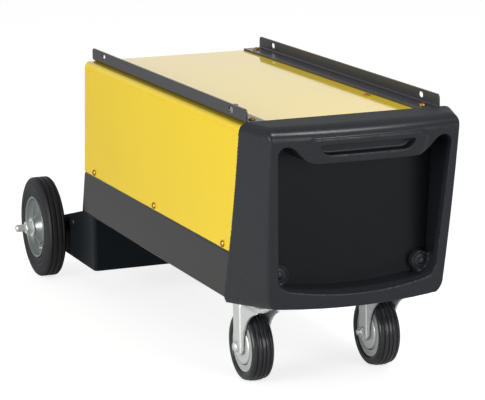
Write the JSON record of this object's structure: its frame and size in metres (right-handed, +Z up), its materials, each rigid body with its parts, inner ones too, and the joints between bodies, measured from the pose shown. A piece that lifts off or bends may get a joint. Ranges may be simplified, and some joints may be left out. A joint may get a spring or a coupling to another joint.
{
  "type": "welding cart",
  "caption": "Low wheeled cart for a welding machine: sheet-steel box body, moulded front with grip, deck rails, rear axle with bottle shelf, swivel casters in front.",
  "frame": {"origin": "on the ground, under the middle of the bounding box", "axes": "+Z up, -Y towards the front moulding, +X to the right seen from the front"},
  "size_m": [0.4398, 0.9966, 0.4013],
  "materials": {
    "yellow_paint": "gloss",
    "grey_paint": "satin",
    "rail_paint": "satin",
    "black_paint": "satin",
    "moulded_plastic": "fine texture",
    "tyre_rubber": "matt",
    "caster_rubber": "matt",
    "nylon": "satin",
    "zinc": "zinc plated",
    "gold_zinc": "yellow passivated",
    "black_steel": "satin"
  },
  "bodies": {
    "chassis": {"axle": "zinc", "axle_bracket": "black_paint", "bezel_screw_left": "black_steel", "bezel_screw_right": "black_steel", "bottle_shelf": "black_paint", "chassis_tray": "grey_paint", "cover": "yellow_paint", "cover_screw_left_front": "gold_zinc", "cover_screw_left_middle": "gold_zinc", "cover_screw_left_rear": "gold_zinc", "cover_screw_right_front": "gold_zinc", "cover_screw_right_middle": "gold_zinc", "cover_screw_right_rear": "gold_zinc", "deck_screw_left": "gold_zinc", "deck_screw_right": "gold_zinc", "front_bezel": "moulded_plastic", "front_panel": "black_paint", "inner_bridge": "grey_paint", "left_caster_cup": "zinc", "left_caster_king_bolt": "zinc", "left_caster_king_nut": "zinc", "left_rail": "rail_paint", "left_rear_nut": "zinc", "left_rear_spacer": "zinc", "left_rear_washer": "zinc", "rail_screw_left_front": "gold_zinc", "rail_screw_left_rear": "gold_zinc", "rail_screw_right_front": "gold_zinc", "rail_screw_right_rear": "gold_zinc", "rear_panel": "grey_paint", "right_caster_cup": "zinc", "right_caster_king_bolt": "zinc", "right_caster_king_nut": "zinc", "right_rail": "rail_paint", "right_rear_nut": "zinc", "right_rear_spacer": "zinc", "right_rear_washer": "zinc", "shelf_bolt_left": "black_steel", "shelf_bolt_right": "black_steel"},
    "left_swivel": {"left_caster_fork": "zinc", "left_caster_axle_bolt": "zinc", "left_caster_axle_nut": "zinc"},
    "left_caster_wheel": {"left_caster_core": "nylon", "left_caster_tread": "caster_rubber", "left_caster_dust_cover_outer": "zinc", "left_caster_dust_cover_inner": "zinc"},
    "left_rear_wheel": {"left_rear_rim": "zinc", "left_rear_tyre": "tyre_rubber", "left_rear_bush": "nylon"},
    "right_swivel": {"right_caster_fork": "zinc", "right_caster_axle_bolt": "zinc", "right_caster_axle_nut": "zinc"},
    "right_caster_wheel": {"right_caster_core": "nylon", "right_caster_tread": "caster_rubber", "right_caster_dust_cover_outer": "zinc", "right_caster_dust_cover_inner": "zinc"},
    "right_rear_wheel": {"right_rear_rim": "zinc", "right_rear_tyre": "tyre_rubber", "right_rear_bush": "nylon"}
  },
  "joints": [
    {"name": "left_caster_swivel", "type": "hinge", "parent": "chassis", "child": "left_swivel", "pos_m": [-0.096, -0.34572, 0.12], "axis": [0, 0, 1], "continuous": true},
    {"name": "left_caster_roll", "type": "hinge", "parent": "left_swivel", "child": "left_caster_wheel", "pos_m": [-0.096, -0.30872, 0.05], "axis": [1, 0, 0], "continuous": true},
    {"name": "left_rear_roll", "type": "hinge", "parent": "chassis", "child": "left_rear_wheel", "pos_m": [-0.1726, 0.41628, 0.082], "axis": [1, 0, 0], "continuous": true},
    {"name": "right_caster_swivel", "type": "hinge", "parent": "chassis", "child": "right_swivel", "pos_m": [0.096, -0.34572, 0.12], "axis": [0, 0, 1], "continuous": true},
    {"name": "right_caster_roll", "type": "hinge", "parent": "right_swivel", "child": "right_caster_wheel", "pos_m": [0.096, -0.30872, 0.05], "axis": [1, 0, 0], "continuous": true},
    {"name": "right_rear_roll", "type": "hinge", "parent": "chassis", "child": "right_rear_wheel", "pos_m": [0.1726, 0.41628, 0.082], "axis": [1, 0, 0], "continuous": true}
  ]
}
